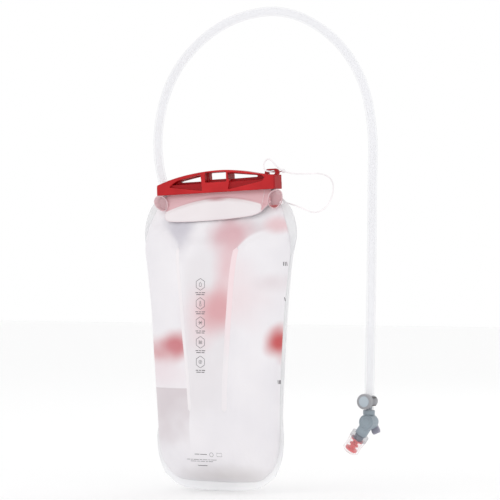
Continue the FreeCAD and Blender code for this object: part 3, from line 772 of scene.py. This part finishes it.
def seam(name, side):
    """The welded side seam of the flap."""
    x = FLAP_LEFT if side < 0 else SEAM_RIGHT
    right = max(side, 0)
    low = read_list(FLAP_EDGE, x - right * SEAM_LEAN)
    line = []
    for k in range(15):
        t = k / 14
        z = SLOT_Z + 1.0 + (low - SLOT_Z - 1.0) * t
        out = FLAP_SLOPE * (SLOT_Z - z) + right * (SEAM_PROUD + SEAM_PROUD * t)
        line.append(tilted(x - right * SEAM_LEAN * t, FOLD_Y - FOLD_R + 0.3 - out, z))
    tube_mesh("mouth_seam_" + name, line, (0.22 * MM,), 8, LIP_EDGE, "reservoir")


# ---------------------------------------------------------------- print

MARKS = [("print_mark_top", 74.8, 226.5, 3), ("print_mark_middle", 73.6, 191.5, 1),
         ("print_mark_low", 67.4, 109.5, 3)]      # name, x, height, bars
MARK_START, MARK_STEP = 0.4, 1.9     # along the film, to the first bar and from bar to bar
MARK_HALF, MARK_WIDE, MARK_LEAST = 1.9, 0.8, 0.22         # half height, width and least width of a bar


def flat_shape(name, surface, outlines, x, height):
    """Thin printed strokes laid on the front film. Each outline is (points, width, closed)."""
    verts, faces = [], []
    for points, width, closed in outlines:
        count = len(points)
        start = len(verts)
        for k, (px, py) in enumerate(points):
            before = points[k - 1] if k or closed else points[k]
            after = points[(k + 1) % count] if k + 1 < count or closed else points[k]
            way = Vector((after[0] - before[0], after[1] - before[1]))
            way = way.normalized() if way.length else Vector((1, 0))
            normal = Vector((-way.y, way.x)) * width / 2
            for s in (-1, 1):
                verts.append(on_film(surface, x + px + s * normal.x, height + py + s * normal.y, True, 0.10))
        spans = count if closed else count - 1
        for k in range(spans):
            a, b = start + 2 * k, start + 2 * ((k + 1) % count)
            faces.append((a, a + 1, b + 1, b))
    piece = new_piece(name, verts, faces, INK, "reservoir", smooth=False)


def arc_points(cx, cy, radius, start, end, count=14):
    angles = (math.radians(start + (end - start) * k / count) for k in range(count + 1))
    return [(cx + radius * math.cos(a), cy + radius * math.sin(a)) for a in angles]


def line_points(a, b, count=8):
    return [(a[0] + (b[0] - a[0]) * k / count, a[1] + (b[1] - a[1]) * k / count) for k in range(count + 1)]


def hexagon(radius, per_side=5):
    corners = [(radius * 0.94 * math.sin(math.radians(60 * k)), radius * math.cos(math.radians(60 * k)))
               for k in range(7)]
    points = []
    for a, b in zip(corners, corners[1:]):
        points += line_points(a, b, per_side)[:-1]
    return points


def glyphs():
    """The plain signs inside the five hexagons: drop, thermometer, crossed strokes, waves, ring."""
    drop = [(0, 2.5), (-0.9, 0.9), (-1.4, -0.4)] + arc_points(0, -0.7, 1.45, 190, 350)
    drop += [(1.4, -0.4), (0.9, 0.9)]
    stem = [(-0.5, -0.6), (-0.5, 1.9)] + arc_points(0, 1.9, 0.5, 180, 0, 6) + [(0.5, -0.6)]
    bulb = arc_points(0, -1.5, 1.05, 60, -240, 14)
    cross = [line_points((-1.8, 1.8), (1.8, -1.8)), line_points((-1.8, -1.8), (1.8, 1.8)),
             line_points((-2.2, 0), (2.2, 0))]
    waves = [[(-2 + k / 4, y + 0.35 * math.sin(k * 1.2)) for k in range(17)] for y in (1.2, 0, -1.2)]
    return [[(drop, 0.36, True)],
            [(stem, 0.36, False), (bulb, 0.36, False)],
            [(c, 0.4, False) for c in cross],
            [(w, 0.36, False) for w in waves],
            [(arc_points(0, 0, 1.7, 0, 345, 22), 0.36, True), (arc_points(0, 0, 0.6, 0, 315, 7), 0.36, True)]]


def tick_words(widths, y, height=0.5, gap=0.9):
    """A row of short bars that stands for a line of small print."""
    total = sum(widths) + gap * (len(widths) - 1)
    x, rows = -total / 2, []
    for width in widths:
        rows.append((line_points((x, y), (x + width, y), 4), height, False))
        x += width + gap
    return rows


def film_print(surface):
    """Five signs in hexagons down the middle chamber, small print near the foot and volume marks."""
    middle = -6.2
    for k, (height, glyph) in enumerate(zip((206, 187, 168, 148.5, 129), glyphs())):
        rows = [(hexagon(5.9), 0.42, True)] + glyph
        rows += tick_words((3.2, 2.2, 4.0), -8.3, 0.7) + tick_words((5.2, 3.4), -10.2, 0.7)
        flat_shape("print_sign_%d" % (k + 1), surface, rows, middle, height)
    rows = tick_words((5.5, 7.5), 8.0, 0.55) + tick_words((4, 2.4, 6, 3, 5, 2.4, 6), 2.6, 0.4)
    rows += tick_words((7, 3, 5, 2.4, 5), 0.9, 0.4) + tick_words((10.5,), -3.4, 0.55)
    rows += [([(px + 12, py + 7.8) for px, py in arc_points(0, 0, 2.0, 0, 350, 16)], 0.3, True)]
    rows += [([(18, 6.2), (23.5, 6.2), (23.5, 9.6), (18, 9.6)], 0.3, True)]
    flat_shape("print_small", surface, rows, -9.0, 29)
    for name, x, height, strokes in MARKS:
        volume_mark(name, surface, x, height, strokes)


def round_side(surface, x, height):
    """Rows of (distance along the film, x) that lead from a place outwards round the film's side."""
    rows = [(0.0, x)]
    place = on_film(surface, x, height, True, 0)
    while rows[-1][0] < 12:
        ahead = on_film(surface, rows[-1][1] + 0.1, height, True, 0)
        gone = (ahead - place).length / MM
        if gone > 1.0:
            break
        rows.append((rows[-1][0] + gone, rows[-1][1] + 0.1))
        place = ahead
    return rows


def volume_mark(name, surface, x, height, strokes):
    """A volume mark, as a row of plain upright bars laid round the film's side."""
    along = round_side(surface, x, height)
    rows = []
    for k in range(strokes):
        out = MARK_START + MARK_STEP * k
        if out < along[-1][0]:
            at = read_list(along, out)
            wide = max(read_list(along, out + MARK_WIDE) - at, MARK_LEAST)
            rows.append((line_points((at - x, -MARK_HALF), (at - x, MARK_HALF), 4), wide, False))
    flat_shape(name, surface, rows, x, height)


# ---------------------------------------------------------------- moulded pieces

def softened(node, material, body, voxel, rounds):
    """A moulded copy of a CAD node with its edges rounded off, which stands for it."""
    source = NODES[node]
    mesh = source.data.copy()
    mesh.name = node + "_moulded"
    piece = bpy.data.objects.new(node + "_moulded", mesh)
    bpy.context.scene.collection.objects.link(piece)
    remesh = piece.modifiers.new("remesh", "REMESH")
    remesh.mode = "VOXEL"
    remesh.voxel_size = voxel * MM
    smooth = piece.modifiers.new("smooth", "SMOOTH")
    smooth.factor = 0.5
    smooth.iterations = rounds
    graph = bpy.context.evaluated_depsgraph_get()
    done = bpy.data.meshes.new_from_object(piece.evaluated_get(graph))
    piece.modifiers.clear()
    piece.data = done
    bpy.data.meshes.remove(mesh)
    done.materials.clear()
    done.materials.append(material)
    done.polygons.foreach_set("material_index", [0] * len(done.polygons))
    done.polygons.foreach_set("use_smooth", [True] * len(done.polygons))
    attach(piece, body)
    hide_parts(node)


def make_tether():
    line = route_line(in_metres(TETHER_ROUTE), 10)
    cord = tube_mesh("tether_line", line, (TETHER_RADIUS,), 12, TETHER, None)
    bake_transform(cord)
    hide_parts("tether_cord")
    length = sum((b - a).length for a, b in zip(line, line[1:]))
    return length


# ---------------------------------------------------------------- materials of this object

def film_material(name, base, shade, alpha, patches=(), glow=0.0):
    """Frosted urethane film: cloudy, faintly tinted, with soft patches of colour. The red patches are the
    colour behind it seen through the film, some grey patches are painted shade, and the middle chamber gets a
    painted shade.
    """
    material, shader = plain_material(name, base, 0.42)
    n = Nodes(material)
    cloud = n.noise(16, 2)
    colour = n.ramp(cloud, [(0.36, shade), (0.62, base)])
    if patches:
        # painted shade: the middle chamber, between the two welds, is made darker
        between = n.math("MULTIPLY", n.math("SUBTRACT", 1.0, n.beside_weld(-1, 2)),
                         n.math("SUBTRACT", 1.0, n.beside_weld(1, 2)))
        centre = n.math("MULTIPLY", between, n.spot(*CENTRE_PAINTED_SHADE, soft=0.5, square=3.0))
        colour = n.mix(n.math("MULTIPLY", centre, 0.8), colour, rgb(232, 228, 231))
    for place, (soft, square), tint, strength, side in patches:
        spot = n.math("MULTIPLY", n.spot(*place, soft=soft, square=square), strength)
        if side in (-1, 1):
            spot = n.math("MULTIPLY", spot, n.beside_weld(side))
        elif side == "middle":
            for lobe in (-1, 1):
                spot = n.math("MULTIPLY", spot, n.math("SUBTRACT", 1.0, n.lobe(lobe)))
        colour = n.mix(spot, colour, tint)
    n.link(colour, shader.inputs["Base Color"])
    fine = n.noise(520, 2)
    n.link(n.span(fine, 0.3, 0.7, 0.36, 0.52), shader.inputs["Roughness"])
    n.link(n.bump(fine, 0.12, 0.00005), shader.inputs["Normal"])
    shader.inputs["Coat Weight"].default_value = 0.15
    shader.inputs["Coat Roughness"].default_value = 0.25
    shader.inputs["Specular IOR Level"].default_value = 0.35
    shader.inputs["Alpha"].default_value = alpha
    # glow is a painted glow, standing in for light that comes through the film
    shader.inputs["Emission Color"].default_value = (1, 1, 1, 1)
    shader.inputs["Emission Strength"].default_value = glow
    return material


def rim_material():
    """The welded rim, with a painted glow at the foot that stands in for the light that comes through it."""
    material = film_material("film_rim", rgb(250, 250, 251), rgb(245, 245, 247), 0.66)
    shader, n = opened(material)
    # painted glow: emission at the foot, fading out by 60 mm up
    n.link(n.span(n.height(), 6, 60, 0.085, 0.0), shader.inputs["Emission Strength"])
    return material


PATCHES = [
    # (middle x, height, reach left, right, down, up), (softness, squareness), tint, strength, and
    # where it stops: outside the left or right weld (-1, 1), or between the outer chambers ("middle")
    # painted shade in the valley above the left shoulder
    ((-37, from_floor(262), 36, 24, 40, 18), (0.95, 2), rgb(203, 199, 208), 0.95, "middle"),
    # painted shade above the right lobe's crease
    ((46, from_floor(262), 26, 24, 14, 12), (0.95, 2), rgb(220, 213, 217), 0.80, "middle"),
    ((24, from_floor(256), 36, 30, 34, 26), (0.95, 2), rgb(216, 170, 177), 0.95, "middle"),
    ((23, from_floor(222), 22, 22, 50, 44), (0.95, 2), rgb(229, 192, 197), 0.90, "middle"),
    ((32, from_floor(190), 20, 46, 40, 60), (0.95, 2), rgb(240, 222, 225), 0.70, 0),
    ((-6, from_floor(178), 34, 22, 46, 34), (0.95, 2), rgb(235, 210, 214), 0.75, 0),
    ((14, from_floor(180), 30, 34, 28, 34), (0.95, 2), rgb(220, 162, 167), 0.92, "middle"),
    ((-38, from_floor(145), 46, 28, 20, 22), (0.90, 2), rgb(206, 126, 132), 1.0, -1),
    ((-68, from_floor(137), 40, 42, 24, 25), (0.90, 2), rgb(212, 148, 154), 0.95, -1),
    ((-60, from_floor(118), 50, 50, 24, 20), (0.90, 2), rgb(236, 222, 227), 0.80, -1),
    ((-70, from_floor(101), 40, 70, 74, 1.5), (0.6, 4), rgb(214, 204, 208), 0.88, -1),
    ((71.5, from_floor(149), 15, 36, 19, 23), (0.85, 2), rgb(202, 88, 90), 1.0, 0),
    ((79, from_floor(134), 13, 24, 18, 18), (0.80, 2), rgb(205, 96, 98), 0.95, 0),
    ((70, from_floor(265), 24, 24, 11, 12), (0.95, 2), rgb(230, 192, 196), 0.80, 0),
    ((66, from_floor(208), 26, 26, 14, 14), (0.95, 2), rgb(226, 214, 218), 0.60, 0),
    # painted shade along the foot of the chamber
    ((16, from_floor(15), 72, 60, 9, 17), (0.95, 2), rgb(212, 207, 206), 0.62, 0),
]
# Where the painted shade over the middle chamber lies: middle x, height, reach left, right, down, up.
CENTRE_PAINTED_SHADE = (0, from_floor(165), 34, 34, 110, 110)


def slider_material():
    """Red moulded plastic, with painted shade inside the handle's pockets and on its right end face."""
    painted_shade_red = rgb(160, 6, 16)
    material = moulded_plastic("red_plastic", rgb(190, 24, 30), 0.40, 900, 0.5)
    shader, n = opened(material)
    shader.inputs["Specular IOR Level"].default_value = 0.25
    face = shader.inputs["Base Color"].links[0].from_socket
    depth = n.math("ABSOLUTE", n.math("SUBTRACT", n.axes()["Y"], FOLD_Y * MM))
    # painted shade on the handle's right end face, past x = 65 mm
    face = n.mix(n.span(n.axes()["X"], 0.0650, 0.0656), face, painted_shade_red)
    # painted shade in the pockets: surfaces that lie in from the handle's two faces
    n.link(n.mix(n.span(depth, 0.0066, 0.0076), painted_shade_red, face), shader.inputs["Base Color"])
    return material


def curl_material():
    """The film at the ends of the mouth, with a painted red reflection of the handle in its lower right fold
    and a faint painted glow.
    """
    material = film_material("film_curl", rgb(222, 180, 185), rgb(229, 197, 202), 0.66, glow=0.03)
    shader, n = opened(material)
    base = shader.inputs["Base Color"].links[0].from_socket
    # painted reflection: a red glint of the handle on the right loop's lower part
    glint = n.math("MULTIPLY", n.spot(64, -30.5, 8, 6, 2.4, 2.0), 0.9)
    n.link(n.mix(glint, base, rgb(212, 62, 60)), shader.inputs["Base Color"])
    return material


def flap_material():
    """The flap: pale below its crease, tinted by the handle above it."""
    material = film_material("film_flap", rgb(238, 231, 233), rgb(232, 224, 227), 0.96)
    shader, n = opened(material)
    base = shader.inputs["Base Color"].links[0].from_socket
    ax = n.axes()
    level = n.math("SUBTRACT", ax["Z"], n.math("MULTIPLY", ax["X"], math.tan(TILT)))
    crease = n.math("MULTIPLY", n.math("POWER", n.math("ABSOLUTE", ax["X"]), 2.0), LENS_BEND / MM)
    past = n.math("MAXIMUM", n.math("SUBTRACT", ax["X"], (SEAM_RIGHT - 3) * MM), 0.0)
    crease = n.math("ADD", crease, n.math("MULTIPLY", n.math("POWER", past, 2.0), 0.9 / MM))
    above = n.math("ADD", n.math("SUBTRACT", level, LENS_TOP * MM), crease)
    tint = n.mix(n.span(above, -0.0006, 0.0012), base, rgb(221, 178, 183))
    edge = n.math("MULTIPLY", n.span(above, -0.0022, -0.0006), n.span(above, 0.0006, -0.0004))
    tint = n.mix(n.math("MULTIPLY", edge, 0.6), tint, rgb(248, 243, 244))
    smile = n.math("MULTIPLY", n.spot(-2, -22.5, 18, 18, 4.5, 4.5), 0.75)
    n.link(n.mix(smile, tint, rgb(212, 160, 168)), shader.inputs["Base Color"])
    return material


def silicone_material(name, colour, clearest, cloudiest):
    """Clear moulded silicone: nearly see-through face on, cloudier where it is seen edge on."""
    material, shader = plain_material(name, colour, 0.12)
    n = Nodes(material)
    facing = n.add("ShaderNodeLayerWeight")
    facing.inputs["Blend"].default_value = 0.4
    haze = n.noise(260, 2)
    n.link(n.span(haze, 0.3, 0.7, 0.08, 0.2), shader.inputs["Roughness"])
    n.link(n.span(facing.outputs["Facing"], 0.3, 1.0, clearest, cloudiest), shader.inputs["Alpha"])
    shader.inputs["Coat Weight"].default_value = 0.5
    return material


FILM_FRONT = film_material("film_front", rgb(243, 240, 243), rgb(237, 234, 238), 0.94, PATCHES)
FILM_BACK = film_material("film_back", rgb(243, 240, 243), rgb(237, 234, 238), 0.94)
RIM = rim_material()
FLAP = flap_material()
CURL = curl_material()
# Film lips, seams and the flap's hem, with a painted glow.
LIP_EDGE = film_material("lip_edge", rgb(244, 228, 231), rgb(238, 216, 220), 0.8, glow=0.05)
WELD = film_material("weld_ribbon", rgb(239, 234, 236), rgb(235, 230, 233), 1.0, [
    ((30, from_floor(222), 16, 16, 90, 60), (0.6, 4), rgb(240, 216, 220), 0.85, 0)])
BAFFLE = film_material("baffle_film", rgb(238, 234, 238), rgb(232, 228, 232), 0.8)
INK = moulded_plastic("print_ink", rgb(92, 88, 92), 0.6)
RED = slider_material()
RED_PLAIN = moulded_plastic("red_plain", rgb(186, 22, 28), 0.40)
RED_CORE = moulded_plastic("red_core", rgb(226, 48, 52), 0.34)
WHITE = moulded_plastic("white_plastic", rgb(232, 232, 234), 0.4)
GREY = moulded_plastic("grey_plastic", rgb(142, 154, 163), 0.42)
PALE_GREY = moulded_plastic("pale_grey_plastic", rgb(172, 182, 190), 0.4)
WARM_GREY = moulded_plastic("clip_plastic", rgb(150, 150, 154), 0.4)
LEVER_GREY = moulded_plastic("lever_plastic", rgb(146, 144, 158), 0.38)
LINER = moulded_plastic("liner_rubber", rgb(92, 88, 86), 0.6)
RUBBER = moulded_plastic("o_ring_rubber", rgb(38, 38, 40), 0.6)
STEEL = moulded_plastic("spring_steel", rgb(178, 180, 184), 0.25)
opened(STEEL)[0].inputs["Metallic"].default_value = 1.0
TETHER = moulded_plastic("tether_cord", rgb(246, 241, 243), 0.5)
CLEAR = silicone_material("clear_silicone", rgb(241, 230, 233), 0.10, 0.60)
CLEAR_RING = silicone_material("clear_ring", rgb(140, 138, 150), 0.28, 0.62)


def body_of(node):
    groups = frame["record"]["behaviour"]["bodies"]
    return next(body for body, nodes in groups.items() if node in nodes)


def make_moulded():
    """Rounded copies of the moulded pieces, and finishes for the nodes that stay as they are."""
    moulded = [("slider_handle", RED, 0.42, 5), ("valve_housing", GREY, 0.16, 6),
               ("valve_cap", GREY, 0.16, 6), ("shutoff_lever", LEVER_GREY, 0.14, 4),
               ("clip_housing", WARM_GREY, 0.15, 5), ("clip_ring", WARM_GREY, 0.14, 5),
               ("clip_face", PALE_GREY, 0.12, 5), ("bite_core", RED_CORE, 0.12, 6),
               ("port_collar", GREY, 0.25, 5), ("plug_elbow", GREY, 0.22, 5),
               ("release_button", RED_PLAIN, 0.16, 6)]
    for node, material, voxel, rounds in moulded:
        softened(node, material, body_of(node), voxel, rounds)
    finishes = [(WHITE, ("port_base", "poppet_retainer", "lip_rail_front", "lip_rail_back",
                          "shutoff_poppet", "shutoff_spool")),
                (GREY, ("valve_inlet",)), (LINER, ("clip_liner",)),
                (RUBBER, ("plug_o_ring", "inlet_o_ring", "spool_o_rings")),
                (STEEL, ("poppet_spring", "latch_spring", "clip_magnet")),
                (CLEAR, ("bite_sheath",)), (CLEAR_RING, ("neck_ring",)),
                (TETHER, ("tether_anchor", "tether_knot"))]
    for material, names in finishes:
        paint(material, *names)


make_camera()
make_studio()
TUBE_LENGTH = make_drink_tube()
TETHER_LENGTH = make_tether()
front_surface = film("film_front", "front_panel", True, FILM_FRONT, RIM)
back_surface = film("film_back", "back_panel", False, FILM_BACK, RIM)
weld_strips(front_surface, back_surface)
mouth_fold()
mouth_curls()
film_print(front_surface)
make_moulded()
